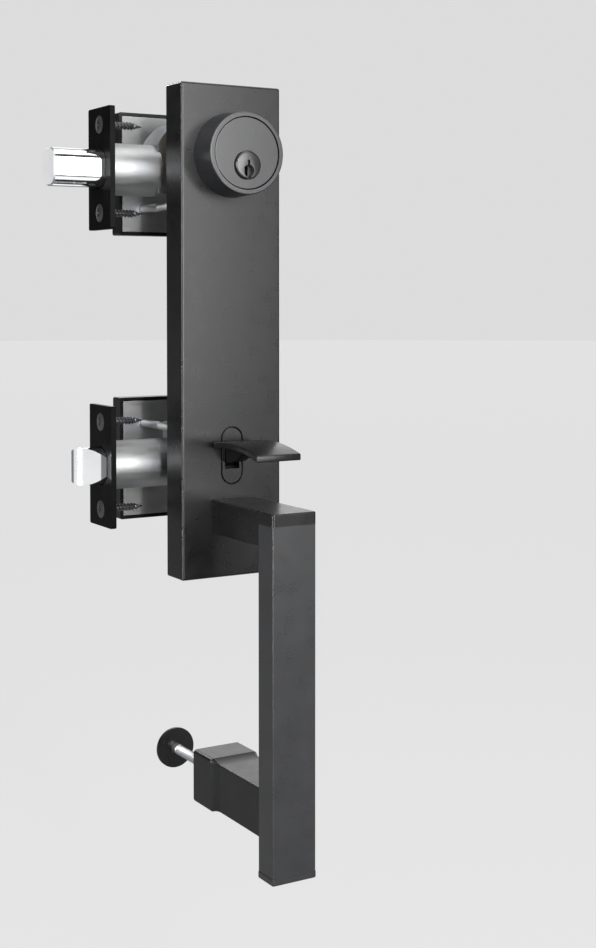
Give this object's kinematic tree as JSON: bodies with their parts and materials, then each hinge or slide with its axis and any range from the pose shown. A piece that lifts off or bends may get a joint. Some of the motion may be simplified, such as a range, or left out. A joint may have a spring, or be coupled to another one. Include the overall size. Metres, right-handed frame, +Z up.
{
  "type": "entry door handle",
  "caption": "Front-door handleset: long plate with key cylinder, thumbpiece and square grip, deadbolt and spring latch in the door's edge, thumb turn and knob inside.",
  "frame": {"origin": "on the exterior face of the door, at the axis of the latch spindle", "axes": "+X along the door's face away from its edge, +Y into the door, +Z up"},
  "size_m": [0.1054, 0.1599, 0.355],
  "materials": {
    "satin_black": "satin black coating",
    "black_screw": "black oxide, semi-gloss",
    "chrome": "polished plating",
    "zinc_steel": "zinc plated",
    "brass": "turned",
    "spring_steel": "drawn wire"
  },
  "bodies": {
    "trim": {"exterior_plate": "satin_black", "cylinder_collar": "satin_black", "cylinder_body": "satin_black", "cylinder_nut": "brass", "driver_pins": "brass", "pin_springs": "spring_steel", "pin_cover": "brass", "thumb_insert": "satin_black", "thumb_pin": "zinc_steel", "thumb_spring": "spring_steel", "upper_arm": "satin_black", "upper_arm_screws": "zinc_steel", "grip_tube": "satin_black", "grip_end_cap": "satin_black", "lower_arm": "satin_black", "lower_arm_screw": "zinc_steel", "lower_bolt": "zinc_steel", "lower_bolt_washer": "satin_black", "deadbolt_faceplate": "satin_black", "deadbolt_edge_screws": "black_screw", "deadbolt_case": "zinc_steel", "thumb_turn_base": "zinc_steel", "thumb_turn_rose": "satin_black", "deadbolt_screws": "zinc_steel", "latch_faceplate": "satin_black", "latch_edge_screws": "black_screw", "latch_case": "zinc_steel", "latch_spring": "spring_steel", "knob_base": "zinc_steel", "knob_rose": "satin_black", "knob_spring": "spring_steel", "latch_screws": "zinc_steel"},
    "thumb_turn": {"thumb_turn": "satin_black", "tail_blade": "zinc_steel", "deadbolt_cam": "zinc_steel", "cam_pin": "zinc_steel"},
    "deadbolt": {"deadbolt": "chrome", "deadbolt_tail": "zinc_steel", "deadbolt_pin": "zinc_steel"},
    "key_plug": {"key_plug": "satin_black", "plug_clip": "zinc_steel", "key_pins": "brass"},
    "knob": {"knob": "satin_black", "knob_set_screw": "zinc_steel", "spindle": "zinc_steel", "spindle_crank": "zinc_steel", "latch_hub": "zinc_steel", "hub_pin": "zinc_steel"},
    "latch": {"latch_bolt": "chrome", "latch_tail": "zinc_steel", "latch_pin": "zinc_steel"},
    "thumbpiece": {"thumbpiece": "satin_black"}
  },
  "joints": [
    {"name": "thumb_turn_hinge", "type": "hinge", "parent": "trim", "child": "thumb_turn", "pos_m": [0, 0.0445, 0.1397], "axis": [0, 1, 0], "range_deg": [0, 90]},
    {"name": "deadbolt_slide", "type": "slide", "parent": "trim", "child": "deadbolt", "axis": [1, 0, 0], "range_m": [0, 0.0254]},
    {"name": "key_turn", "type": "hinge", "parent": "trim", "child": "key_plug", "pos_m": [0, -0.03, 0.1397], "axis": [0, 1, 0], "range_deg": [0, 90]},
    {"name": "knob_turn", "type": "hinge", "parent": "trim", "child": "knob", "pos_m": [0, 0.0445, 0], "axis": [0, 1, 0], "range_deg": [0, 50], "stiffness_Nm_per_rad": 0.3, "springref_deg": -17.19},
    {"name": "latch_slide", "type": "slide", "parent": "trim", "child": "latch", "axis": [1, 0, 0], "range_m": [0, 0.0127], "stiffness_N_per_m": 150, "springref_m": -0.01, "deforming": ["latch_spring"]},
    {"name": "thumb_press", "type": "hinge", "parent": "trim", "child": "thumbpiece", "pos_m": [0, -0.0075, 0.004], "axis": [1, 0, 0], "range_deg": [0, 18]}
  ],
  "couplings": [
    {"joint": "thumb_turn_hinge", "follows": "deadbolt_slide", "rad_per_m": 61.842},
    {"joint": "key_turn", "follows": "deadbolt_slide", "rad_per_m": 61.842},
    {"joint": "latch_slide", "follows": "knob_turn", "m_per_rad": 0.01455},
    {"joint": "thumb_press", "follows": "knob_turn", "ratio": 0.36}
  ]
}
